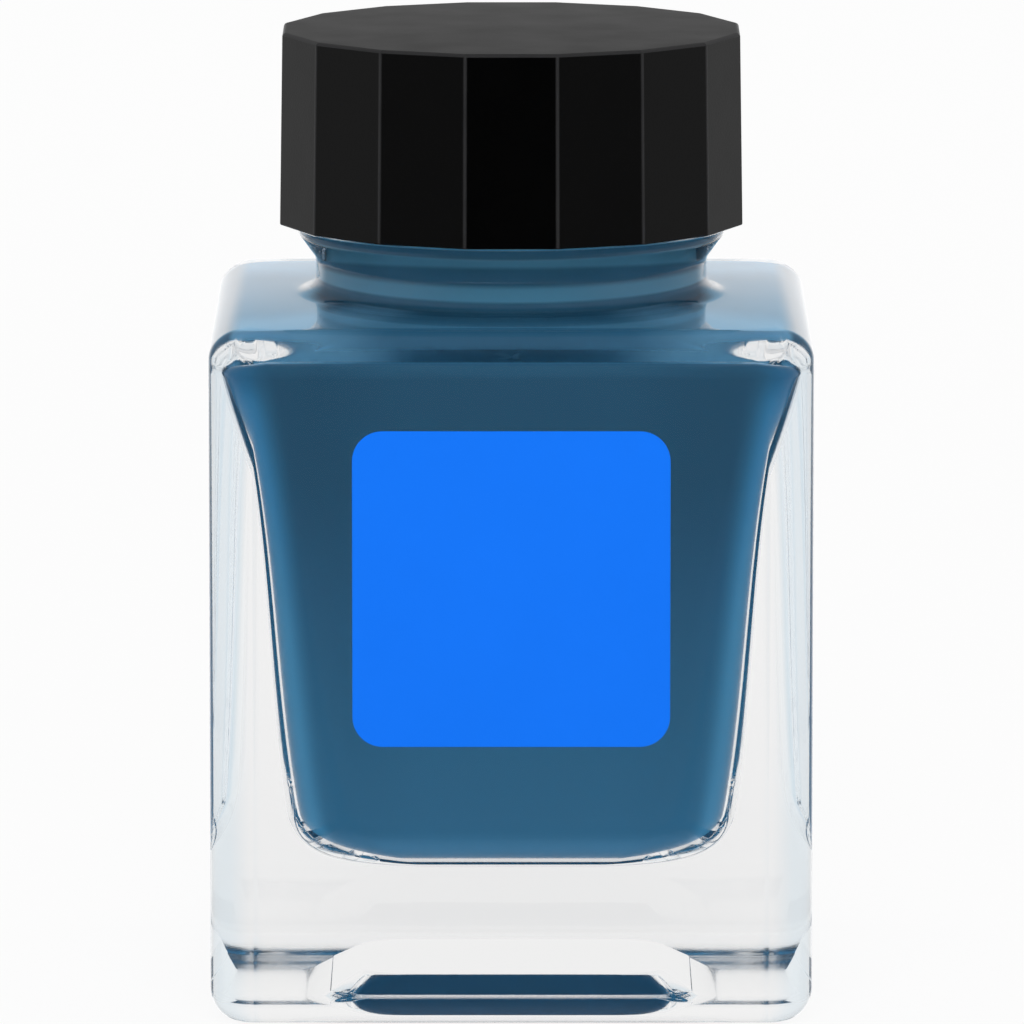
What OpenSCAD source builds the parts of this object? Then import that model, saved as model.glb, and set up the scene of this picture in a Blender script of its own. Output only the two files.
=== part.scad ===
// Square glass ink bottle with a sixteen-sided screw cap.
// The origin is the middle of the base, +Z is up and the label faces -Y.

/* [Glass body] */
// Width and depth of the square body
body_w = 40; // [36:0.5:60]
// Height of the flat shoulder above the table
shoulder_h = 46.6; // [38:0.2:80]
// Radius of the four upright edges
edge_r = 3; // [2.4:0.1:5]
// Rounding between the walls and the shoulder
shoulder_r = 2.2; // [0.8:0.1:2.4]
// Rounding between the walls and the base
heel_r = 2.2; // [0.8:0.1:2.4]
// Width of the recess under the base
punt_w = 28; // [12:0.5:32]
// Height of the recess under the base
punt_h = 2.4; // [0.5:0.1:4]
// How far the sloping sides of the recess reach inward
punt_slope = 4; // [1:0.1:5]
// Corner radius of the recess
punt_r = 3; // [0.5:0.1:5]

/* [Ink well] */
// Thickness of the glass below the ink
floor_t = 9.85; // [5:0.05:16]
// Thickness of the glass where the walls turn into the shoulder
roof_t = 2.2; // [1.4:0.1:4]
// Thickness of the walls just below the shoulder
top_wall_t = 1.6; // [1.2:0.1:4]
// Thickness of the walls at the foot of the well
foot_wall_t = 5; // [2:0.1:8]
// Rounding where the walls meet the roof of the well
roof_r = 0.9; // [0.6:0.1:4]
// Rounding where the walls meet the floor of the well
foot_r = 4.2; // [2:0.1:6]
// Plan radius of the well's corners at the roof
top_corner_r = 1.8; // [1.4:0.1:8]
// Plan radius of the well's corners at the floor
foot_corner_r = 6; // [4:0.1:11]
// Lean of the walls just below the roof, in degrees
top_lean = 14; // [4:1:20]
// Lean of the walls where they meet the floor, in degrees
foot_lean = 8; // [2:1:14]
// Rise of the roof of the well toward the neck, in degrees
roof_rise = 13.5; // [2:0.5:20]

/* [Neck] */
// Diameter of the neck between shoulder and bead
neck_d = 26.3; // [26:0.1:30]
// Rounding where the neck stands on the shoulder
neck_root_r = 1.4; // [0.4:0.1:2]
// Height of the bead's top above the shoulder
bead_h = 4.6; // [3:0.1:8]
// Height of the bead's upright rim
bead_rim = 0.9; // [0.4:0.1:1.4]
// Diameter of the bead below the cap
bead_d = 28.6; // [28.4:0.1:31]
// Height of the threaded finish above the bead
finish_h = 10.6; // [10.4:0.1:14]
// Bore of the mouth
mouth_d = 20; // [16:0.1:21]
// Length of the straight bore below the lip
mouth_l = 9.4; // [5:0.1:10]
// Bore of the throat below the straight mouth
throat_d = 21.6; // [17:0.1:22.4]
// Rounding where the throat opens into the well
throat_r = 1.6; // [0.6:0.1:2]
// Rounding on both edges of the lip
lip_r = 0.5; // [0.2:0.1:0.8]

/* [Thread] */
// Diameter of the neck under the thread
root_d = 25; // [24:0.1:25.6]
// Height of the thread above the wall it stands on
thread_h = 1.15; // [0.8:0.05:1.3]
// Rise of the thread in one turn
pitch = 4.23; // [4:0.01:4.6]
// Width of the neck thread at its foot
thread_w = 2.4; // [1.6:0.1:2.5]
// Width of the cap thread at its foot
cap_thread_w = 2.2; // [1.6:0.1:2.3]
// Slope of the thread's flanks, in degrees
flank = 30; // [20:1:32]
// Turns of the neck thread
neck_turns = 1.35; // [1:0.05:1.5]
// Turns of the cap thread
cap_turns = 1.4; // [1:0.05:1.4]
// Glass between the bead and the lower end of the neck thread
thread_rise = 1.4; // [1:0.1:1.8]
// Clearance between the threads, in every direction
thread_gap = 0.3; // [0.2:0.05:0.4]

/* [Cap] */
// Flat sides round the cap
cap_sides = 16; // [8:1:24]
// Thickness of the cap's wall at the middle of a flat side
cap_wall = 1.55; // [1.2:0.05:3]
// How much narrower the cap is at the top, all round
cap_draft = 0.18; // [0:0.02:0.4]
// Thickness of the cap's top
cap_top_t = 1.6; // [1.2:0.1:3]
// Bevel round the cap's top edge
cap_bevel = 0.3; // [0.1:0.05:0.5]
// Gap between the cap and the bead
cap_gap = 0.3; // [0.2:0.1:0.8]
// Bevel inside the cap's lower edge
cap_mouth_bevel = 0.5; // [0.2:0.1:0.7]
// Thickness of the sealing liner
liner_t = 1.2; // [0.8:0.1:2]
// Gap between the liner and the bore of the cap
liner_gap = 0.3; // [0.2:0.05:0.5]

/* [Ink and label] */
// Height of the ink's surface below the straight mouth
ink_drop = 0.3; // [0.2:0.1:12]
// Gap between the ink and the glass
ink_gap = 0.05; // [0.03:0.01:0.1]
// Width of the label
label_w = 21; // [14:0.1:30]
// Height of the label
label_h = 21.1; // [14:0.1:32]
// Corner radius of the label
label_r = 2; // [0.5:0.1:4]
// Thickness of the label
label_t = 0.1; // [0.05:0.01:0.2]
// Height of the label's middle above the table
label_z = 29.5; // [20:0.1:32]

/* [Hidden] */

corner_steps = 8; // chords in a quarter turn of an upright corner
round_steps = 6; // chords in a quarter turn of an edge rounding
roof_steps = 4; // rings across the roof of the well
wall_steps = 10; // rings up the wall of the well
turn_steps = 40; // rings in one turn of a thread
fade_turn = 0.1; // share of a turn over which a thread rises out of its wall
sunk = 0.4; // how deep a thread is rooted in its wall
past = 1; // how far a cut runs past the face it opens
seam = 0.1; // how far the throat's rounding starts below the roof it opens

well_floor = floor_t;
top_half = body_w / 2 - top_wall_t;
foot_half = body_w / 2 - foot_wall_t;
// The roof of the well turns in from the wall at roof_in and climbs to the throat.
roof_centre = [top_half - roof_r, shoulder_h - roof_t - roof_r];
roof_in = roof_centre + roof_r * [sin(roof_rise), cos(roof_rise)];
throat_in = throat_d / 2 + throat_r;
well_roof = roof_in[1] + (roof_in[0] - throat_in) * tan(roof_rise);
bead_top = shoulder_h + bead_h;
lip_top = bead_top + finish_h;
mouth_low = lip_top - mouth_l;
ink_top = mouth_low - ink_drop;
cap_bore_d = root_d + 2 * (thread_h + thread_gap);
cap_r = (cap_bore_d / 2 + cap_wall) / cos(180 / cap_sides);
cap_low = bead_top + cap_gap;
cap_ceiling = lip_top + liner_t;
cap_high = cap_ceiling + cap_top_t;
neck_thread_z = bead_top + thread_rise + thread_w / 2;
// The two threads share a helix: the cap's upper flank runs thread_gap under the neck's lower one.
thread_offset = (thread_w + cap_thread_w) / 2 + thread_gap - (thread_h + thread_gap) * tan(flank);
cap_thread_low = cap_low + cap_mouth_bevel + cap_thread_w / 2;
cap_thread_turn = (cap_thread_low - neck_thread_z + thread_offset) / pitch;

// Points along an arc round (x, z), from angle a to angle b.
function arc(x, z, r, a, b) = [
    for (i = [0:round_steps]) let (t = a + (b - a) * i / round_steps) [x + r * cos(t), z + r * sin(t)]
];

// A cubic curve through p0 and p3, steered by p1 and p2; u runs from 0 to 1.
function bezier(p0, p1, p2, p3, u) =
    (1 - u) ^ 3 * p0 + 3 * u * (1 - u) ^ 2 * p1 + 3 * u ^ 2 * (1 - u) * p2 + u ^ 3 * p3;

// A level rounded square of the given half width and corner radius, as one loop of points.
function square_loop(half, r, z) = [
    for (q = [0:3], i = [0:corner_steps])
        let (a = 90 * (q + i / corner_steps), c = (half - r) * sqrt(2), m = 90 * q + 45)
            [c * cos(m) + r * cos(a), c * sin(m) + r * sin(a), z]
];

// Skins a stack of loops into one closed solid.
module skin(loops) {
    n = len(loops[0]);
    top = len(loops) - 1;
    polyhedron(
        points = [for (loop = loops) each loop],
        faces = [
            [for (i = [0:n - 1]) i],
            [for (i = [n - 1:-1:0]) top * n + i],
            for (k = [0:top - 1], i = [0:n - 1])
                let (j = (i + 1) % n, here = k * n, above = here + n)
                    each [[here + i, above + i, above + j], [here + i, above + j, here + j]]
        ]
    );
}

// The outer profile of the body from base to shoulder: inset from the wall, height.
function body_profile() = concat(
    [for (p = arc(heel_r, heel_r, heel_r, 270, 180)) p],
    [for (p = arc(shoulder_r, shoulder_h - shoulder_r, shoulder_r, 180, 90)) p]
);

module body_block() {
    skin([for (p = body_profile()) square_loop(body_w / 2 - p[0], edge_r - p[0], p[1])]);
}

// The wall of the well from floor to roof: half width, height. It is gap smaller than the glass.
function well_wall(gap) =
    let (
        foot = [foot_half - foot_r, well_floor + foot_r],
        reach = (roof_centre[1] - foot[1]) / 3,
        low = foot + (foot_r - gap) * [cos(foot_lean), -sin(foot_lean)],
        high = roof_centre + (roof_r - gap) * [cos(top_lean), -sin(top_lean)]
    ) concat(
        arc(foot[0], foot[1], foot_r - gap, -90, -foot_lean),
        [for (i = [1:wall_steps - 1])
            bezier(
                low, low + reach * [tan(foot_lean), 1], high - reach * [tan(top_lean), 1], high, i / wall_steps
            )],
        arc(roof_centre[0], roof_centre[1], roof_r - gap, -top_lean, 90 - roof_rise)
    );

// The hollow of the well. Its corners grow rounder toward the floor, and the roof runs into a circle
// that lies inside the throat.
module well(gap = 0) {
    wall = well_wall(gap);
    from = wall[len(wall) - 1];
    span = from[0] - throat_d / 2 + seam + gap;
    skin(concat(
        [for (p = wall)
            let (share = min(1, (p[1] - well_floor) / (roof_centre[1] - well_floor)))
                square_loop(p[0], foot_corner_r + (top_corner_r - foot_corner_r) * share - gap, p[1])],
        [for (i = [1:roof_steps])
            let (share = i / roof_steps, half = from[0] - span * share)
                square_loop(
                    half, (top_corner_r - gap) * (1 - share) + 0.999 * half * share,
                    from[1] + span * share * tan(roof_rise)
                )]
    ));
}

// The hollow of the neck, from the roof of the well to above the lip.
module throat(gap = 0) {
    low = well_roof - seam - gap;
    rotate_extrude($fn = 96)
        polygon(concat(
            [[0, low - roof_r], [throat_in - gap, low - roof_r]],
            arc(throat_in - gap, low + throat_r, throat_r, 270, 180),
            [[mouth_d / 2 - gap, mouth_low], [mouth_d / 2 - gap, lip_top - lip_r]],
            [for (p = arc(mouth_d / 2 + lip_r, lip_top - lip_r, lip_r, 180, 90)) p - [gap, 0]],
            [[mouth_d / 2 + lip_r, lip_top + past], [0, lip_top + past]]
        ));
}

// A right-handed ridge wound round a wall, its two ends faded into it. Way is 1 on the outside of
// the wall and -1 on the inside.
module thread(wall_r, way, foot_w, first_turn, turns, z) {
    steps = round(turns * turn_steps);
    tip_w = foot_w - 2 * thread_h * tan(flank);
    sink_w = foot_w + 2 * sunk * tan(flank);
    skin([
        for (k = [0:steps])
            let (
                t = first_turn + turns * k / steps,
                fade = min(1, (t - first_turn) / fade_turn, (first_turn + turns - t) / fade_turn),
                crest = wall_r + way * (fade * (thread_h + sunk / 2) - sunk / 2),
                foot = wall_r - way * sunk,
                section = [[foot, -sink_w / 2], [foot, sink_w / 2], [crest, tip_w / 2], [crest, -tip_w / 2]],
                order = way > 0 ? [0, 1, 2, 3] : [3, 2, 1, 0]
            )
                [for (i = order)
                    [section[i][0] * cos(360 * t), section[i][0] * sin(360 * t), z + pitch * t + section[i][1]]]
    ]);
}

module neck() {
    flare = (bead_d - neck_d) / 2;
    bead_round = bead_rim / 2;
    neck_foot = shoulder_h - roof_t;
    rotate_extrude($fn = 96)
        polygon(concat(
            [[0, neck_foot], [neck_d / 2 + neck_root_r, neck_foot]],
            arc(neck_d / 2 + neck_root_r, shoulder_h + neck_root_r, neck_root_r, 270, 180),
            [[neck_d / 2, bead_top - bead_rim - flare], [bead_d / 2, bead_top - bead_rim]],
            arc(bead_d / 2 - bead_round, bead_top - bead_round, bead_round, 0, 90),
            [[root_d / 2, bead_top]],
            arc(root_d / 2 - lip_r, lip_top - lip_r, lip_r, 0, 90),
            [[0, lip_top]]
        ));
}

// The square recess under the base, with sloping sides.
module punt() {
    skin([
        square_loop(punt_w / 2, punt_r, -past),
        square_loop(punt_w / 2, punt_r, 0),
        square_loop(punt_w / 2 - punt_slope, punt_r, punt_h)
    ]);
}

module glass_bottle() {
    color("lightcyan", 0.5)
        difference() {
            union() {
                body_block();
                neck();
                thread(root_d / 2, 1, thread_w, 0, neck_turns, neck_thread_z);
            }
            well();
            throat();
            punt();
        }
}

module ink_fill() {
    color("steelblue")
        intersection() {
            union() {
                well(ink_gap);
                throat(ink_gap);
            }
            translate([-body_w / 2, -body_w / 2, 0]) cube([body_w, body_w, ink_top]);
        }
}

module front_label() {
    color("dodgerblue")
        translate([0, -body_w / 2, label_z])
            rotate([90, 0, 0])
                linear_extrude(label_t) {
                    square([label_w - 2 * label_r, label_h], center = true);
                    square([label_w, label_h - 2 * label_r], center = true);
                    for (x = [-1, 1], y = [-1, 1])
                        translate([x * (label_w / 2 - label_r), y * (label_h / 2 - label_r)])
                            circle(label_r, $fn = 48);
                }
}

// One level outline of the cap, with a flat side toward -Y.
function cap_loop(inset, z) = [
    for (i = [0:cap_sides - 1])
        let (a = 360 * (i + 0.5) / cap_sides - 90, r = cap_r - inset / cos(180 / cap_sides))
            [r * cos(a), r * sin(a), z]
];

module cap_shell() {
    color("black") {
        difference() {
            skin([
                cap_loop(0, cap_low),
                cap_loop(cap_draft, cap_high - cap_bevel),
                cap_loop(cap_draft + cap_bevel, cap_high)
            ]);
            rotate_extrude($fn = 96)
                polygon([
                    [0, cap_low - past],
                    [cap_bore_d / 2 + cap_mouth_bevel, cap_low - past],
                    [cap_bore_d / 2 + cap_mouth_bevel, cap_low],
                    [cap_bore_d / 2, cap_low + cap_mouth_bevel],
                    [cap_bore_d / 2, cap_ceiling],
                    [0, cap_ceiling]
                ]);
        }
        thread(cap_bore_d / 2, -1, cap_thread_w, cap_thread_turn, cap_turns, neck_thread_z - thread_offset);
    }
}

module cap_liner() {
    color("gainsboro")
        translate([0, 0, lip_top])
            cylinder(h = liner_t, d = cap_bore_d - 2 * liner_gap, $fn = 96);
}

glass_bottle();
ink_fill();
front_label();
cap_shell();
cap_liner();
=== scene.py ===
from math import cos, floor, hypot, pi, radians, sin, sqrt, tan

import bpy
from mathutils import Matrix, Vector
from mathutils.bvhtree import BVHTree


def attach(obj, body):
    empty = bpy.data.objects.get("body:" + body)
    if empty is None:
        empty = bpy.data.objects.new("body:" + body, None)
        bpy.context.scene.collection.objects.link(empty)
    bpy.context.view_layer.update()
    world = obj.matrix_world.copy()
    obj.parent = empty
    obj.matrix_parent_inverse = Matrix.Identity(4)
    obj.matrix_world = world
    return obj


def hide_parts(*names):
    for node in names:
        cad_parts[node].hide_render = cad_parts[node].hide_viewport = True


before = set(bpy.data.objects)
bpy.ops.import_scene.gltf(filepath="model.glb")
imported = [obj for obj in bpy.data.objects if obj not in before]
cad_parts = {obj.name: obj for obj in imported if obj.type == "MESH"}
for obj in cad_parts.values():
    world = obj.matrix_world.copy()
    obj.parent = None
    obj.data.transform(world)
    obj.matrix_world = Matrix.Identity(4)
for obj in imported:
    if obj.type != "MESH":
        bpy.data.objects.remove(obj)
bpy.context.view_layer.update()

mm = 0.001  # every length below is written in millimetres and made with this

# THE VIEW
# A long lens from most of a metre away, a little above the bottle and square to its front, as in the
# photograph. The camera is aimed and not shifted.
W = H = 1024
L = max(W, H)
lens, sensor_width = 447.9, 36.0
shift_x = shift_y = 0.0
eye = Vector((0.05, -850.0, 163.3)) * mm
aimed_at = Vector((0.05, 0.0, 31.56)) * mm

camera_data = bpy.data.cameras.new("camera")
camera_data.sensor_fit = "AUTO"
camera_data.sensor_width = sensor_width
camera_data.lens = lens
camera_data.shift_x, camera_data.shift_y = shift_x, shift_y
camera_data.clip_start, camera_data.clip_end = 10 * mm, 50000 * mm
camera = bpy.data.objects.new("camera", camera_data)
camera.location = eye
camera.rotation_euler = (aimed_at - eye).to_track_quat("-Z", "Y").to_euler()
bpy.context.scene.collection.objects.link(camera)
bpy.context.scene.camera = camera
bpy.context.scene.view_settings.view_transform = "Standard"
cycles = bpy.context.scene.cycles
cycles.max_bounces = cycles.transmission_bounces = 24  # light crosses many walls of glass
cycles.glossy_bounces = 16
bpy.context.view_layer.update()

# Where these show in the photograph's frame, in pixels: (x, y), or one of the two where the other
# isn't fixed. Below, each is compared with where the finished object has it.
points = {
    "body_left": (208.4, None),
    "body_right": (814.1, None),
    "cap_top_back": (None, 2.2),
    "cap_left": (280, None),
    "cap_right": (742.5, None),
    "cap_front_low_left": (464.6, 249.7),
    "cap_front_low_right": (557.9, 249.7),
    "cap_front_high_left": (465, 54.6),
    "cap_front_high_right": (557.5, 54.6),
    "neck_left": (315.8, None),
    "neck_right": (706.7, None),
    "label_left": (351.9, None),
    "label_right": (670.6, None),
    "label_top": (None, 431.1),
    "label_bottom": (None, 747),
    "bottle_bottom": (None, 1022.5),
}

# THE TABLE AND THE STUDIO
# A pale round table top and a white room behind the bottle. In front of it the room is dark, so that
# the glass and the cap mirror almost nothing toward the camera.


class Wire:
    """One output of a node. Sums and products of wires add Math nodes."""

    def __init__(self, finish, socket):
        self.finish, self.socket = finish, socket

    def maths(self, operation, *values):
        return self.finish.add("ShaderNodeMath", {"operation": operation}, dict(enumerate(values)))

    def __add__(self, other):
        return self.maths("ADD", self, other)

    def __sub__(self, other):
        return self.maths("SUBTRACT", self, other)

    def __rsub__(self, other):
        return self.maths("SUBTRACT", other, self)

    def __mul__(self, other):
        return self.maths("MULTIPLY", self, other)

    def __truediv__(self, other):
        return self.maths("DIVIDE", self, other)

    def __rtruediv__(self, other):
        return self.maths("DIVIDE", other, self)

    __radd__ = __add__
    __rmul__ = __mul__

    def size(self):
        return self.maths("ABSOLUTE", self)

    def least(self, other):
        return self.maths("MINIMUM", self, other)

    def most(self, other):
        return self.maths("MAXIMUM", self, other)

    def ramp(self, low, high):
        """0 up to low, 1 from high on, and smooth between them."""
        return self.finish.add(
            "ShaderNodeMapRange", {"interpolation_type": "SMOOTHSTEP"},
            {"Value": self, "From Min": low, "From Max": high},
        )


class Finish:
    """The nodes of a material, or of the world."""

    def __init__(self, owner):
        owner.use_nodes = True
        self.owner, self.tree = owner, owner.node_tree
        self.tree.nodes.clear()

    def add(self, kind, settings=None, values=None, out=0):
        """One node with its settings and the values or wires of its inputs; gives its output out."""
        node = self.tree.nodes.new(kind)
        for name, value in (settings or {}).items():
            if name == "stops":
                for k, (place, colour) in enumerate(value):
                    stop = node.color_ramp.elements[k] if k < 2 else node.color_ramp.elements.new(place)
                    stop.position, stop.color = place, (*colour, 1)
            else:
                setattr(node, name, value)
        for name, value in (values or {}).items():
            if isinstance(value, Wire):
                self.tree.links.new(value.socket, node.inputs[name])
            elif isinstance(value, tuple) and len(value) == 3 and node.inputs[name].type == "RGBA":
                node.inputs[name].default_value = (*value, 1)
            else:
                node.inputs[name].default_value = value
        return Wire(self, node.outputs[out])

    def mix(self, share, a, b):
        """From colour a to colour b."""
        return self.add("ShaderNodeMix", {"data_type": "RGBA"}, {0: share, 6: a, 7: b}, 2)

    def spot(self):
        """Where a point lies on the object, as three wires in millimetres."""
        place = self.add("ShaderNodeTexCoord", out="Object")
        axes = self.add("ShaderNodeSeparateXYZ", None, {0: place})
        return [Wire(self, axes.socket.node.outputs[k]) * (1 / mm) for k in range(3)]

    def grain(self, per_mm, detail=2.0, rough=0.5):
        """Noise round 0.5 with so many grains to the millimetre."""
        place = self.add("ShaderNodeTexCoord", out="Object")
        return self.add(
            "ShaderNodeTexNoise", None,
            {"Vector": place, "Scale": per_mm / mm, "Detail": detail, "Roughness": rough},
        )

    def relief(self, height, depth_mm):
        """A Bump node: height from 0 to 1 stands for so many millimetres."""
        return self.add("ShaderNodeBump", None, {"Height": height, "Distance": depth_mm * mm})

    def upward(self):
        """How far the surface faces up: 1 on a level top, -1 on a level underside."""
        facing = self.add("ShaderNodeNewGeometry", out="Normal")
        return self.add("ShaderNodeSeparateXYZ", None, {0: facing}, "Z")


def finish_of(name, values):
    """A material of one Principled shader. values(finish) gives what its sockets hold."""
    finish = Finish(bpy.data.materials.new(name))
    shader = finish.add("ShaderNodeBsdfPrincipled", None, values(finish))
    end = finish.tree.nodes.new("ShaderNodeOutputMaterial")
    finish.tree.links.new(shader.socket, end.inputs["Surface"])
    return finish.owner


studio = Finish(bpy.data.worlds.new("studio"))
bpy.context.scene.world = studio.owner
toward = studio.add("ShaderNodeTexCoord", out="Generated")
depth = studio.add("ShaderNodeSeparateXYZ", None, {0: toward}, "Y")
height = studio.add("ShaderNodeSeparateXYZ", None, {0: toward}, "Z")
wall_light, low_light = 0.38, 0.3  # of the room, and more of it low down behind the bottle
cloth_white, cloth_blue = (1.15, 1.15, 1.15), (0.45, 0.70, 0.90)
white_in_glass, white = (0.9, 0.9, 0.9), (1.0, 1.0, 1.0)
# The room lights from the back and stays dark toward the camera.
room = wall_light * depth.ramp(-1.05, -0.3) * (1 - 0.3 * height.ramp(0.02, 0.35))
room = room + low_light * depth.ramp(0.8, 0.97) * (1 - height.ramp(0.04, 0.16))
# A cloth behind the bottle, which only sharp mirrorings in the glass show.
backcloth = studio.mix(height.ramp(0.06, 0.22), cloth_white, cloth_blue)
backcloth = studio.mix(depth.ramp(0.75, 0.97) * (1 - height.ramp(0.22, 0.45)), room, backcloth)
in_a_mirror = studio.add("ShaderNodeLightPath", out="Is Singular Ray")
seen_in_glass = studio.add("ShaderNodeLightPath", out="Is Transmission Ray")
seen_by_camera = studio.add("ShaderNodeLightPath", out="Is Camera Ray")
glow = studio.mix(in_a_mirror, room, backcloth)
glow = studio.mix(seen_in_glass, glow, white_in_glass)
glow = studio.mix(seen_by_camera, glow, white)
backdrop = studio.add("ShaderNodeBackground", None, {"Color": glow, "Strength": 1.0})
world_end = studio.tree.nodes.new("ShaderNodeOutputWorld")
studio.tree.links.new(backdrop.socket, world_end.inputs["Surface"])

lamp_w = 500
lamps_aimed_at = Vector((0, 0, 30)) * mm


def soft_lamp(name, x, y, z, watts):
    """A square lamp turned to the bottle. Its own outline isn't mirrored in glass or plastic."""
    data = bpy.data.lights.new(name, "AREA")
    data.shape, data.size, data.energy = "SQUARE", lamp_w * mm, watts
    lamp = bpy.data.objects.new(name, data)
    lamp.location = Vector((x, y, z)) * mm
    lamp.rotation_euler = (lamps_aimed_at - lamp.location).to_track_quat("-Z", "Y").to_euler()
    lamp.visible_glossy = lamp.visible_transmission = False
    bpy.context.scene.collection.objects.link(lamp)


soft_lamp("front_lamp", 0, -600, 350, 3.5)
soft_lamp("left_lamp", -600, 50, 350, 1.2)
soft_lamp("right_lamp", 600, 50, 350, 1.2)
soft_lamp("back_lamp", 0, 600, 400, 1.2)

table_r, table_rings, table_sides = 700, 6, 64
table_z = -0.03  # so that the glass and the table share no face
table_paint = (0.86, 0.86, 0.86), (0.9, 0.9, 0.9)
table_places = [(0, 0, table_z * mm)]
for n in range(1, table_rings + 1):
    r = table_r * (n / table_rings) ** 2
    for k in range(table_sides):
        a = 2 * pi * k / table_sides
        table_places.append((r * mm * cos(a), r * mm * sin(a), table_z * mm))
table_faces = [(0, 1 + k, 1 + (k + 1) % table_sides) for k in range(table_sides)]
for n in range(table_rings - 1):
    for k in range(table_sides):
        inner, beside = 1 + n * table_sides, (k + 1) % table_sides
        outer = inner + table_sides
        table_faces.append((inner + k, outer + k, outer + beside, inner + beside))
table_mesh = bpy.data.meshes.new("table_top")
table_mesh.from_pydata(table_places, [], table_faces)
table_top = bpy.data.objects.new("table_top", table_mesh)
bpy.context.scene.collection.objects.link(table_top)
table_top.visible_glossy = False
table = Finish(bpy.data.materials.new("table_white"))
paint = table.mix(table.grain(0.4, 3), *table_paint)
lit = table.add("ShaderNodeBsdfDiffuse", None, {"Color": paint})
plain_white = table.add("ShaderNodeEmission", None, {"Color": white, "Strength": 1.0})
by_eye = table.add("ShaderNodeLightPath", out="Is Camera Ray")
by_glass = table.add("ShaderNodeLightPath", out="Is Transmission Ray")
# The camera sees the table as white with a little of its shadow, and glass shows it nearly so.
white_share = 0.92 * by_eye + 0.7 * by_glass
shown = table.add("ShaderNodeMixShader", None, {0: white_share, 1: lit, 2: plain_white})
table_end = table.tree.nodes.new("ShaderNodeOutputMaterial")
table.tree.links.new(shown.socket, table_end.inputs["Surface"])
table_mesh.materials.append(table.owner)

# THE GLASS BOTTLE
# One moulded piece of clear glass: a square body with soft edges, a thick base with a hollow under it,
# a bead and a screw thread round the neck. It is skinned as one closed wall, down the outside and up
# the inside, from the same sizes as the part's source.
body_w, shoulder_h, edge_r, shoulder_r, heel_r = 40, 46.6, 3.0, 2.2, 2.2
punt_w, punt_h, punt_slope, punt_r = 28, 2.4, 4, 3
floor_t, roof_t, top_wall_t, foot_wall_t = 9.85, 2.2, 1.6, 5.0
roof_r, foot_r, top_corner_r, foot_corner_r = 0.9, 4.2, 1.8, 6.0
top_lean, foot_lean, roof_rise = 14, 8, 13.5  # degrees
neck_d, neck_root_r, bead_h, bead_rim, bead_d, finish_h = 26.3, 1.4, 4.6, 0.9, 28.6, 10.6
mouth_d, mouth_l, throat_d, throat_r, lip_r = 20, 9.4, 21.6, 1.6, 0.5
root_d, thread_h, pitch, thread_w, flank = 25, 1.15, 4.23, 2.4, radians(30)
neck_turns, thread_rise = 1.35, 1.4
ink_drop = 0.3
# These are finer than the part's source: the crown of the shoulder, in millimetres for each square
# millimetre out from the middle, the small step in the recess, and eased corners.
shoulder_fall = 0.0006
step_in, step_rise, step_lean = 1.9, 0.12, 0.05
recess_ease, step_ease, rim_ease = 0.4, 0.06, 0.25
bead_foot_r, bead_foot_drop, neck_foot_r = 0.8, 0.33, 0.25
crest_ease = 0.06
glass_ior, ink_ior = 1.52, 1.333
wave_depth = 0.05
heel_frost, rim_frost = 0.18, 0.108
# Painted light: the blue glow of the ink, tinted into the glass along its upright edges.
edge_ink_glow = (0.78, 0.89, 0.96)

bead_top = shoulder_h + bead_h
lip_top = bead_top + finish_h
mouth_low = lip_top - mouth_l
ink_top = mouth_low - ink_drop
neck_thread_z = bead_top + thread_rise + thread_w / 2

corner_steps, side_steps = 32, 12  # chords in the quarter turn of an upright edge, points along a side
loop_size = 4 * (corner_steps + 1 + side_steps)
recess_steps, root_steps, thread_steps, wall_steps, roof_steps = 8, 8, 84, 40, 14  # loops in each zone


def bend(x, z, r, start, end, steps=14):
    """Points on an arc of a profile, from angle start to angle end in degrees."""
    angles = [radians(start + (end - start) * k / steps) for k in range(steps + 1)]
    return [(x + r * cos(a), z + r * sin(a)) for a in angles]


def square_loop(half, r, z):
    """A level rounded square: half its width, and the radius of its corners."""
    loop = []
    for quarter in range(4):
        middle, reach = pi / 2 * quarter + pi / 4, (half - r) * sqrt(2)
        for k in range(corner_steps + 1):
            a = pi / 2 * (quarter + k / corner_steps)
            loop.append((reach * cos(middle) + r * cos(a), reach * sin(middle) + r * sin(a), z))
        end_x, end_y = loop[-1][:2]
        for k in range(1, side_steps + 1):
            along = 2 * (half - r) * k / (side_steps + 1)
            loop.append((end_x - along * sin(a), end_y + along * cos(a), z))
    return loop


def round_loop(r, z):
    """A level circle whose points lie near those of a square loop. r may be a function of the angle."""
    loop = []
    for k in range(loop_size):
        a = 2 * pi * (k - corner_steps / 2) / loop_size + pi / 4
        reach = r(a) if callable(r) else r
        loop.append((reach * cos(a), reach * sin(a), z))
    return loop


def skinned(name, loops, finishes, which=lambda k: 0):
    """Skins loops into one closed piece. which(k) picks the finish between loops k and k + 1."""
    size, top = len(loops[0]), len(loops) - 1
    faces = [
        (k * size + i, k * size + (i + 1) % size, (k + 1) * size + (i + 1) % size, (k + 1) * size + i)
        for k in range(top) for i in range(size)
    ]
    faces += [tuple(range(size - 1, -1, -1)), tuple(top * size + i for i in range(size))]
    slots = [which(k) for k in range(top) for _ in range(size)] + [which(0), which(top - 1)]
    mesh = bpy.data.meshes.new(name)
    mesh.from_pydata([(x * mm, y * mm, z * mm) for loop in loops for x, y, z in loop], [], faces)
    for finish in finishes:
        mesh.materials.append(finish)
    for face, slot in zip(mesh.polygons, slots):
        face.use_smooth, face.material_index = True, slot
    piece = bpy.data.objects.new(name, mesh)
    bpy.context.scene.collection.objects.link(piece)
    shading = piece.modifiers.new("even_shading", "WEIGHTED_NORMAL")
    shading.weight, shading.keep_sharp = 100, False
    return piece


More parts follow.
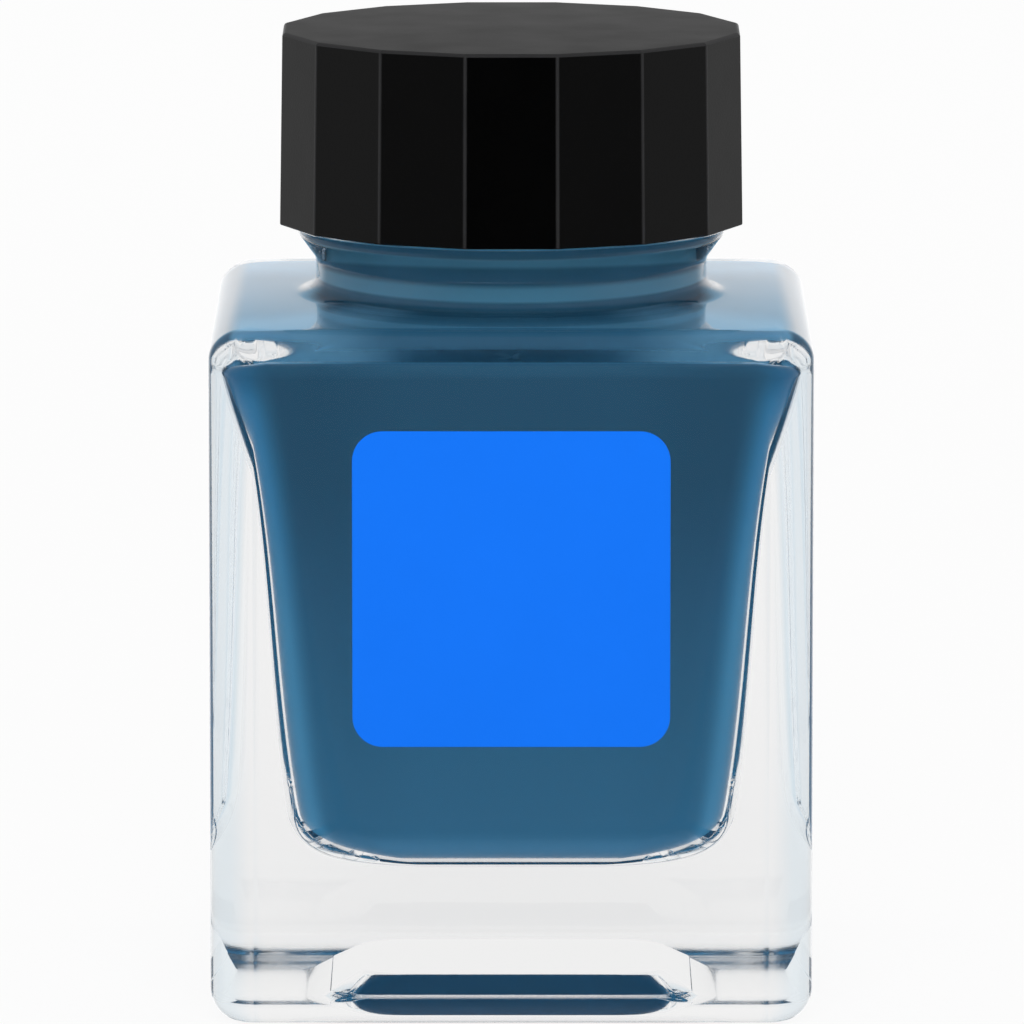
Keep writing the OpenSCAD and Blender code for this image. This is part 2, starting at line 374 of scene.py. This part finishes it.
def ridge(z, angle, foot_w, first_z, first_turn, turns):
    """Height of a screw thread over its wall, at one height and angle. Its corners are eased."""
    foot_past, fade_turns = 0.1, 0.1  # a wider foot than the source's, and the run-out at each end
    best = 0.0
    for n in range(floor(first_turn) - 1, floor(first_turn + turns) + 2):
        t = (angle % (2 * pi)) / (2 * pi) + n
        if first_turn <= t <= first_turn + turns:
            away = abs(z - first_z - pitch * t)
            rise = (foot_w / 2 + foot_past - away) / tan(flank)
            fade = min(1, (t - first_turn) / fade_turns, (first_turn + turns - t) / fade_turns)
            best = max(best, min(max(rise, 0), thread_h, fade * thread_h * 1.02))
            if 0 < thread_h - best < 2 * crest_ease:
                best = thread_h - crest_ease - (thread_h - best) / 2
    return best


def eased(before, corner, after, reach, steps=6):
    """Rounds a corner of a profile, starting and ending so far from it."""
    before, corner, after = Vector(before), Vector(corner), Vector(after)
    start = corner + (before - corner).normalized() * reach
    end = corner + (after - corner).normalized() * reach
    shares = [k / steps for k in range(steps + 1)]
    return [(1 - u) ** 2 * start + 2 * u * (1 - u) * corner + u * u * end for u in shares]


# The recess under the base: a level ceiling, and sides that fall to the rim in two slopes with a
# small step between them.
punt_top, punt_rim = (punt_w / 2 - punt_slope, punt_h), (punt_w / 2, 0)
step_foot = (punt_w / 2 - step_in, step_in * punt_h / punt_slope)
step_head = (step_foot[0] - step_lean, step_foot[1] + step_rise)
recess = [(punt_top[0] * (k + 0.5) / recess_steps, punt_h) for k in range(recess_steps - 1)]
recess += eased((punt_top[0] - 2, punt_h), punt_top, step_head, recess_ease)
recess += eased(punt_top, step_head, step_foot, step_ease)
recess += eased(step_head, step_foot, punt_rim, step_ease)
recess += eased(step_foot, punt_rim, (punt_rim[0] + 2, 0), rim_ease)
outside = [square_loop(half, min(punt_r, 0.98 * half), z) for half, z in recess]

# The body's outside, from the heel to the flat of the shoulder.
body_profile = bend(heel_r, heel_r, heel_r, 270, 180)
body_profile += bend(shoulder_r, shoulder_h - shoulder_r, shoulder_r, 180, 90)
for inset, z in body_profile:
    outside.append(square_loop(body_w / 2 - inset, max(edge_r - inset, 0.3), z))
shoulder_edge = outside[-1]

# The neck, the bead, the thread and the lip.
flare = (bead_d - neck_d) / 2
bead_foot_z = bead_top - bead_rim - flare - bead_foot_drop
neck_profile = bend(neck_d / 2 + neck_root_r, shoulder_h + neck_root_r, neck_root_r, 270, 180)
neck_profile += bend(neck_d / 2 + bead_foot_r, bead_foot_z, bead_foot_r, 180, 135, 5)
neck_profile += bend(bead_d / 2 - bead_rim / 2, bead_top - bead_rim / 2, bead_rim / 2, -45, 90, 10)
neck_profile += bend(root_d / 2 + neck_foot_r, bead_top + neck_foot_r, neck_foot_r, 270, 180, 5)
neck_loops = [round_loop(r, z) for r, z in neck_profile]
for k in range(1, thread_steps + 1):
    z = bead_top + neck_foot_r + (finish_h - neck_foot_r - lip_r) * k / thread_steps
    neck_loops.append(
        round_loop(lambda a: root_d / 2 + ridge(z, a, thread_w, neck_thread_z, 0, neck_turns), z)
    )
neck_loops += [round_loop(r, z) for r, z in bend(root_d / 2 - lip_r, lip_top - lip_r, lip_r, 0, 90, 8)[1:]]

# The flat of the shoulder runs in steps from the square to the round.
for k in range(1, root_steps):
    outside.append([
        tuple(a + (b - a) * k / root_steps for a, b in zip(start, end))
        for start, end in zip(shoulder_edge, neck_loops[0])
    ])
outside += neck_loops


def crowned(x, y, z):
    """The shoulder isn't quite flat: it falls a little from the neck to the corners."""
    share = max(0, 1 - abs(z - shoulder_h) / (shoulder_r if z < shoulder_h else neck_root_r))
    fall = shoulder_fall * ((body_w / 2 - shoulder_r) ** 2 - x * x - y * y)
    return x, y, z + share * share * (3 - 2 * share) * fall


outside = [[crowned(*place) for place in loop] for loop in outside]


def well_loops(gap):
    """The hollow that holds the ink, from its floor to the roof's edge round the throat."""
    foot_x, foot_z = body_w / 2 - foot_wall_t - foot_r, floor_t + foot_r
    roof_x, roof_z = body_w / 2 - top_wall_t - roof_r, shoulder_h - roof_t - roof_r
    reach = (roof_z - foot_z) / 3
    lean_low, lean_high = radians(foot_lean), radians(top_lean)
    low = Vector((foot_x + (foot_r - gap) * cos(lean_low), foot_z - (foot_r - gap) * sin(lean_low)))
    high = Vector((roof_x + (roof_r - gap) * cos(lean_high), roof_z - (roof_r - gap) * sin(lean_high)))
    steer_low = low + reach * Vector((tan(lean_low), 1))
    steer_high = high - reach * Vector((tan(lean_high), 1))
    wall = bend(foot_x, foot_z, foot_r - gap, -90, -foot_lean)
    for k in range(1, wall_steps):
        u = k / wall_steps
        place = (1 - u) ** 3 * low + 3 * u * (1 - u) ** 2 * steer_low
        wall.append(place + 3 * u * u * (1 - u) * steer_high + u ** 3 * high)
    wall += bend(roof_x, roof_z, roof_r - gap, -top_lean, 90 - roof_rise)
    loops = []
    for half, z in wall:
        share = min(1, (z - floor_t) / (roof_z - floor_t))
        loops.append(square_loop(half, foot_corner_r + (top_corner_r - foot_corner_r) * share - gap, z))
    edge_x, edge_z = wall[-1]
    for k in range(1, roof_steps + 1):
        share = k / roof_steps
        half = edge_x + (throat_d / 2 + throat_r - gap - edge_x) * k / roof_steps
        corner = (top_corner_r - gap) * (1 - share) + 0.999 * half * k / roof_steps
        loops.append(square_loop(half, corner, edge_z + (edge_x - half) * tan(radians(roof_rise))))
    return loops


def throat_loops(gap, start_z):
    """The hollow of the neck up to the ink's surface."""
    rounding = bend(throat_d / 2 + throat_r - gap, start_z + throat_r, throat_r, 270, 180)
    narrow = (mouth_low - ink_top) / (mouth_low - rounding[-1][1])
    last = (mouth_d / 2 * (1 - narrow) + throat_d / 2 * narrow - gap, ink_top)
    return [round_loop(r, z) for r, z in rounding[1:] + [last]]


hollow = well_loops(0)
hollow += throat_loops(0, hollow[-1][0][2])
wetted = len(hollow) - 1  # this many bands of the hollow lie below the ink's surface
hollow.append(round_loop(mouth_d / 2, mouth_low))
hollow += [round_loop(r, z) for r, z in bend(mouth_d / 2 + lip_r, lip_top - lip_r, lip_r, 180, 90, 8)]


def clear(finish, ior):
    """Flint glass with the faint waves of the mould, and the ink's blue light painted into its upright
    edges.

    It is rubbed dull where it stands and along its heel, except at the front, where the heel shows the
    ink's mirrored bands sharply.
    """
    waves = finish.grain(0.055, 1.5, 0.4)
    x, y, z = finish.spot()
    wide, narrow = x.size().most(y.size()), x.size().least(y.size())
    heel = z.ramp(0.1, 0.4) * (1 - z.ramp(2.2, 2.9)) * wide.ramp(16.0, 17.0) * y.ramp(-16.0, -12.0)
    rim = (1 - z.ramp(0.1, 0.4)) * wide.ramp(punt_w / 2 - 0.6, punt_w / 2 - 0.2)
    upright_edge = (narrow / wide).ramp(0.84, 0.97) * wide.ramp(15.0, 16.5) * (1 - z.ramp(44.0, 46.0))
    return {
        "Base Color": finish.mix(upright_edge, white, edge_ink_glow),
        "Metallic": 0.0, "Roughness": (heel_frost * heel).most(rim_frost * rim), "IOR": ior,
        "Transmission Weight": 1.0, "Normal": finish.relief(waves, wave_depth),
    }


bottle_glass = finish_of("bottle_glass", lambda finish: clear(finish, glass_ior))
# Where ink wets the glass, light bends by the ratio of the two.
wetted_glass = finish_of("wetted_glass", lambda finish: clear(finish, glass_ior / ink_ior))

first_wet = len(outside) + len(hollow) - 1 - wetted
glass = skinned(
    "glass_bottle_moulded", outside + hollow[::-1], [bottle_glass, wetted_glass],
    lambda k: 1 if k >= first_wet else 0,
)
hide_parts("glass_bottle")
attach(glass, "bottle")

# THE INK
# Dense blue ink fills the well and the neck up to the bead. It is skinned just inside the glass, with
# a surface that climbs a little where it meets the wall.
film_gap = 0.02  # the source keeps the ink 0.05 off the glass; here it all but touches
rise_at_wall, rise_reach = 0.25, 2.4

ink_loops = well_loops(film_gap)
ink_loops += throat_loops(film_gap, ink_loops[-1][0][2])
ink_edge = hypot(*ink_loops[-1][0][:2])
surface_from = len(ink_loops) - 1
for inward in (0.15, 0.4, 0.8, 1.3, 1.8, rise_reach):
    dip = rise_at_wall * (1 - (1 - inward / rise_reach) ** 3)
    ink_loops.append(round_loop(ink_edge - inward, ink_top - dip))

# Painted light and shade by height, from the floor of the well to the shoulder: lighter at both ends,
# darker between.
ink_light_by_height = [
    (0.0, (0.060, 0.258, 0.482)), (0.2, (0.057, 0.244, 0.455)), (0.52, (0.049, 0.198, 0.376)),
    (0.72, (0.043, 0.172, 0.315)), (0.93, (0.045, 0.176, 0.316)), (1.0, (0.072, 0.270, 0.480)),
]
# Colours for the ink: its own uneven cloud, painted shade on its flanks and underside, and painted light at
# its corners, round its floor, in its neck and on its roof.
flank_shade_ink, underside_shade_ink, cloud_ink = (0.010, 0.050, 0.110), (0.024, 0.112, 0.230), (0.05, 0.19, 0.33)
corner_light_ink, rim_light_ink, neck_light_ink = (0.10, 0.42, 0.74), (0.17, 0.52, 0.90), (0.19, 0.62, 0.95)
roof_light_ink, roof_corner_light_ink = (0.060, 0.255, 0.470), (0.22, 0.60, 0.95)
surface_inks = (0.018, 0.075, 0.15), (0.024, 0.09, 0.17)


def ink_colours(finish):
    """Painted light and shade on the ink's blue: darker between floor and shoulder, on its flanks and
    underside; lighter where it is thin, at the corners, round the floor, on the roof and in the neck.
    """
    x, y, z = finish.spot()
    depth = (z - floor_t) / (shoulder_h - floor_t)
    body = finish.add("ShaderNodeValToRGB", {"stops": ink_light_by_height}, {"Fac": depth})
    wide, narrow = x.size().most(y.size()), x.size().least(y.size())
    to_corner = narrow / wide
    corner = to_corner.ramp(0.84, 0.99) * (1 - depth.ramp(0.85, 0.97))
    flank = to_corner.ramp(0.35, 0.75) * (1 - depth.ramp(0.93, 0.97))
    flank = flank * (0.07 + 0.13 * depth.ramp(0.4, 0.75))
    up = finish.upward()
    rim = (1 - (z - floor_t).ramp(0.2, 3.0)) * (1 + up).ramp(0.1, 0.5)
    roof, underside = up.ramp(0.85, 0.965), (0 - up).ramp(0.85, 0.97)
    roof_colour = finish.mix(to_corner.ramp(0.45, 0.9), roof_light_ink, roof_corner_light_ink)
    # Two bands of painted light round the neck: at its foot, and from under the bead upward.
    neck = z.ramp(46.9, 47.4) * (1 - z.ramp(48.2, 48.7)) + 0.9 * z.ramp(50.4, 50.9)
    mottle = finish.grain(0.12, 3)
    colour = finish.mix(flank, body, flank_shade_ink)
    colour = finish.mix(corner * 0.8, colour, corner_light_ink)
    colour = finish.mix(rim * 0.85, colour, rim_light_ink)
    colour = finish.mix(roof, colour, roof_colour)
    colour = finish.mix(underside, colour, underside_shade_ink)
    colour = finish.mix(neck, colour, neck_light_ink)
    return {
        "Base Color": finish.mix(mottle * 0.2, colour, cloud_ink),
        "Metallic": 0.0, "Roughness": 0.6, "Specular IOR Level": 0.0,
    }


def ink_surface(finish):
    """The free surface in the neck mirrors the light."""
    ripples = finish.grain(0.2, 1.0)
    return {
        "Base Color": finish.mix(ripples, *surface_inks),
        "Metallic": 0.0, "Roughness": 0.04, "IOR": ink_ior, "Normal": finish.relief(ripples, 0.02),
    }


ink = skinned(
    "ink_in_the_well", ink_loops,
    [finish_of("blue_ink", ink_colours), finish_of("ink_surface", ink_surface)],
    lambda k: 1 if k >= surface_from else 0,
)
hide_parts("ink_fill")
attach(ink, "bottle")

# THE LABEL
# A square of bright blue film with round corners, stuck to the front of the glass. It is bare: the
# figure that the photograph shows on it is left off.
label_w, label_h, label_r, label_t, label_z = 21, 21.1, 2.0, 0.1, 29.5
label_edge, label_corner_steps = 0.035, 12  # how far its front edge is eased, and chords in a corner
label_gap = 0.005  # so that film and glass share no face
label_blues = (0.0036, 0.164, 0.86), (0.0042, 0.172, 0.90)


def label_loop(inset, depth):
    """The label's outline, drawn in by inset, at a depth in front of the glass."""
    r, loop = label_r - inset, []
    for quarter, (right, up) in enumerate(((1, 1), (-1, 1), (-1, -1), (1, -1))):
        x, z = right * (label_w / 2 - label_r), label_z + up * (label_h / 2 - label_r)
        for k in range(label_corner_steps + 1):
            a = pi / 2 * (quarter + k / label_corner_steps)
            loop.append((x + r * cos(a), -body_w / 2 - depth, z + r * sin(a)))
    return loop


def label_colours(finish):
    """Satin blue film: an even colour with the fine tooth of its coating."""
    tooth, cloud = finish.grain(9, 2), finish.grain(0.15, 2)
    return {
        "Base Color": finish.mix(cloud, *label_blues),
        "Metallic": 0.0, "Roughness": 0.5 + 0.1 * tooth, "Specular IOR Level": 0.12,
        "Normal": finish.relief(tooth, 0.004),
    }


label_loops = [
    label_loop(0, label_gap), label_loop(0, label_t - label_edge),
    label_loop(0.01, label_t - 0.01), label_loop(label_edge, label_t),
]
label = skinned("label_film_square", label_loops, [finish_of("label_blue", label_colours)])
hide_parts("front_label")
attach(label, "bottle")
# Glass doesn't show it, as it would put a dark halo on the opaque ink, which real ink doesn't have.
label.visible_transmission = False

# THE CAP
# A black plastic screw cap, moulded with sixteen flat sides that lean in a little, crisp edges and a
# flat top. Inside it has the thread that runs on the neck's.
cap_sides, cap_wall, cap_draft, cap_top_t, cap_gap, cap_mouth_bevel = 16, 1.55, 0.18, 1.6, 0.3, 0.5
thread_gap, cap_thread_w, cap_turns, liner_t, liner_gap = 0.3, 2.2, 1.4, 1.2, 0.3
# Finer than the part's source: eased edges and a slightly domed top.
cap_edge_r, cap_rim_r, cap_foot_r, cap_ceiling_ease, cap_mouth_ease = 0.14, 0.3, 0.12, 0.3, 0.08
cap_fall = 0.0006  # millimetres for each square millimetre out from the middle
cap_thread_steps, cap_rim_steps, cap_foot_steps = 96, 8, 4
cap_points = 8  # points round each corner
middle_r = 0.4  # of the small face that closes a disc in its middle
# Blacks of the plastic, and the grey of the painted highlights along its edges.
cap_blacks, edge_highlight_grey = ((0.0005, 0.0005, 0.0006), (0.0010, 0.0010, 0.0011)), (0.022, 0.022, 0.023)

cap_bore_r = root_d / 2 + thread_h + thread_gap
cap_flat = cap_bore_r + cap_wall  # from the axis to the middle of a flat side
cap_low, cap_ceiling = bead_top + cap_gap, lip_top + liner_t
cap_high = cap_ceiling + cap_top_t
thread_offset = (thread_w + cap_thread_w) / 2 + thread_gap - (thread_h + thread_gap) * tan(flank)
cap_thread_z = neck_thread_z - thread_offset
cap_thread_turn = (cap_low + cap_mouth_bevel + cap_thread_w / 2 - cap_thread_z) / pitch


def cap_outline(inset, z):
    """The cap's sixteen sides at one height, with eased corners."""
    loop, half_turn = [], pi / cap_sides
    reach = (cap_flat - inset - cap_edge_r) / cos(half_turn)
    for corner in range(cap_sides):
        a = 2 * pi * (corner + 0.5) / cap_sides - pi / 2
        for k in range(cap_points):
            b = a + half_turn * (2 * k / (cap_points - 1) - 1)
            loop.append((reach * cos(a) + cap_edge_r * cos(b), reach * sin(a) + cap_edge_r * sin(b), z))
    return loop


def cap_ring(r, z):
    """A round loop with as many points as the cap's outline. r may be a function of the angle."""
    loop, count = [], cap_sides * cap_points
    for k in range(count):
        a = 2 * pi * (k + 0.5 - cap_points / 2) / count + pi / cap_sides - pi / 2
        reach = r(a) if callable(r) else r
        loop.append((reach * cos(a), reach * sin(a), z))
    return loop


def cap_thread(z):
    """The bore with its thread, at one height."""
    turn = (cap_thread_w, cap_thread_z, cap_thread_turn, cap_turns)
    return cap_ring(lambda a: cap_bore_r - ridge(z, a, *turn), z)


# Up the middle of the ceiling, down the bore and its thread, and round the mouth.
thread_top, thread_foot = cap_ceiling - cap_ceiling_ease, cap_low + cap_mouth_bevel
cap_loops = [cap_ring(middle_r, cap_ceiling), cap_ring(cap_bore_r - cap_ceiling_ease, cap_ceiling)]
cap_loops.append(cap_ring(cap_bore_r, thread_top))
for k in range(1, cap_thread_steps):
    cap_loops.append(cap_thread(thread_top - (thread_top - thread_foot) * k / cap_thread_steps))
cap_loops += [
    cap_ring(cap_bore_r, thread_foot),
    cap_ring(cap_bore_r + cap_mouth_bevel - cap_mouth_ease, cap_low + cap_mouth_ease),
    cap_ring(cap_bore_r + cap_mouth_bevel, cap_low),
]

# Up the sixteen sides, over the rim and in across the top.
for k in range(cap_foot_steps + 1):
    a = pi / 2 * k / cap_foot_steps
    cap_loops.append(cap_outline(cap_foot_r * (1 - sin(a)), cap_low + cap_foot_r * (1 - cos(a))))
for k in range(cap_rim_steps + 1):
    a = pi / 2 * k / cap_rim_steps
    cap_loops.append(cap_outline(cap_draft + cap_rim_r * (1 - cos(a)), cap_high - cap_rim_r * (1 - sin(a))))
for inset in (1.2, 2.4, 4.0, 6.0, 8.0, 10.0, 12.0, cap_flat - 0.8):
    cap_loops.append(cap_outline(inset, cap_high))


def domed(x, y, z):
    """The cap's top falls a little toward its rim; a millimetre below it nothing moves."""
    share = min(1, max(0, z - cap_high + 1))
    return x, y, z - cap_fall * (x * x + y * y) * share


cap_loops = [[domed(*place) for place in loop] for loop in cap_loops]


def cap_plastic(finish):
    """Deep black plastic with a satin mould texture, and uneven painted highlights along its upright edges
    and on the rounding of its rim.
    """
    stipple, cloud = finish.grain(6, 2), finish.grain(0.25, 3)
    up = finish.upward()
    top = up.ramp(0.7, 0.95)
    x, y, z = finish.spot()
    sides = x.maths("ARCTAN2", y, x) * (cap_sides / (2 * pi)) + 0.5  # a whole number at each upright edge
    corner = x.maths("PINGPONG", sides, 0.5) * (2 * pi * cap_flat / cap_sides)
    # Painted highlights, uneven: lighter along the upright edges of the sides and on the upward rounding of
    # the rim.
    edge_highlight = (1 - corner.ramp(0.04, 0.17)) * (1 - top) * (x * x + y * y).ramp(200, 220)
    edge_highlight = edge_highlight.most(up.ramp(0.1, 0.4) * (1 - up.ramp(0.9, 0.995))) * (0.6 + 0.8 * cloud)
    return {
        "Base Color": finish.mix(edge_highlight, finish.mix(cloud, *cap_blacks), edge_highlight_grey),
        "Metallic": 0.0, "Roughness": 0.26 + 0.1 * cloud + 0.06 * top, "Specular IOR Level": 0.25,
        "Normal": finish.relief(stipple, 0.006),
    }


cap = skinned("screw_cap_moulded", cap_loops, [finish_of("cap_black", cap_plastic)])
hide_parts("cap_shell")
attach(cap, "cap")

# THE LINER
# A disc of white foam that lies against the cap's ceiling and seals the lip of the bottle.
liner_r = cap_bore_r - liner_gap
liner_edge_r, liner_play = 0.15, 0.02  # its rounded edges, and the air left under the ceiling
dish = 0.03  # how far its lower face stands up off the lip inside the mouth
foam_whites = (0.70, 0.70, 0.68), (0.80, 0.80, 0.78)


def foam(finish):
    """Closed-cell foam: fine pores and a slightly uneven white."""
    pores, cloud = finish.grain(5, 3, 0.7), finish.grain(0.4, 3)
    return {
        "Base Color": finish.mix(cloud, *foam_whites),
        "Metallic": 0.0, "Roughness": 0.75 + 0.15 * pores, "Normal": finish.relief(pores, 0.05),
    }


liner_profile = [(middle_r, lip_top + dish), (mouth_d / 2, lip_top + dish)]
liner_profile.append((mouth_d / 2 + 0.2, lip_top))
liner_top = cap_ceiling - liner_play
liner_profile += bend(liner_r - liner_edge_r, lip_top + liner_edge_r, liner_edge_r, 270, 360, 4)
liner_profile += bend(liner_r - liner_edge_r, liner_top - liner_edge_r, liner_edge_r, 0, 90, 4)
liner_profile.append((middle_r, liner_top))
liner = skinned(
    "cap_liner_disc", [cap_ring(r, z) for r, z in liner_profile], [finish_of("liner_foam", foam)]
)
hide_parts("cap_liner")
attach(liner, "liner")

# WHERE THE POINTS SHOW
# Each named point is compared with the finished vertices that show in the picture.
bpy.context.view_layer.update()
to_camera = camera.matrix_world.inverted()
graph = bpy.context.evaluated_depsgraph_get()
trees = [BVHTree.FromObject(piece, graph) for piece in (glass, label, cap)]


def pixel(place):
    """Where a place shows in the picture."""
    at = to_camera @ place
    scale = L * lens / sensor_width / -at.z
    return W / 2 - shift_x * L + at.x * scale, H / 2 + shift_y * L - at.y * scale


def showing(piece, keep):
    """Pixels of a piece's vertices that show and that keep, which reads millimetres, picks."""
    found = []
    for vertex in piece.evaluated_get(graph).data.vertices:
        place = piece.matrix_world @ vertex.co
        if keep(*(place / mm)):
            way = place - camera.location
            hits = [tree.ray_cast(camera.location, way.normalized())[3] for tree in trees]
            if all(reach is None or reach > way.length - 0.2 * mm for reach in hits):
                found.append(pixel(place))
    return found


body_seen = showing(glass, lambda x, y, z: z < shoulder_h)
neck_seen = showing(glass, lambda x, y, z: shoulder_h + 1.3 < z < shoulder_h + 2.5)  # above its root
cap_seen = showing(cap, lambda x, y, z: hypot(x, y) > cap_flat - 1)
rim_seen = showing(cap, lambda x, y, z: z > cap_high - 0.4 and hypot(x, y) > cap_flat - 1)
label_seen = showing(label, lambda x, y, z: True)
front_x = cap_flat * tan(pi / cap_sides)


def front_corner(side, high):
    """The end of the cap's front side, at its lower or upper edge."""
    inset = cap_draft if high else 0
    z = cap_high - 0.15 if high else cap_low
    return pixel(Vector((side * (front_x - inset * tan(pi / cap_sides)), -cap_flat + inset, z)) * mm)


shown_at = {
    "body_left": (min(x for x, y in body_seen), None),
    "body_right": (max(x for x, y in body_seen), None),
    "cap_top_back": (None, min(y for x, y in rim_seen)),
    "cap_left": (min(x for x, y in cap_seen), None),
    "cap_right": (max(x for x, y in cap_seen), None),
    "cap_front_low_left": front_corner(-1, False),
    "cap_front_low_right": front_corner(1, False),
    "cap_front_high_left": front_corner(-1, True),
    "cap_front_high_right": front_corner(1, True),
    "neck_left": (min(x for x, y in neck_seen), None),
    "neck_right": (max(x for x, y in neck_seen), None),
    "label_left": (min(x for x, y in label_seen), None),
    "label_right": (max(x for x, y in label_seen), None),
    "label_top": (None, min(y for x, y in label_seen)),
    "label_bottom": (None, max(y for x, y in label_seen)),
    "bottle_bottom": (None, max(y for x, y in body_seen)),
}
away = {
    name: [None if p is None else round(s - p, 1) for p, s in zip(point, shown_at[name])]
    for name, point in points.items()
}
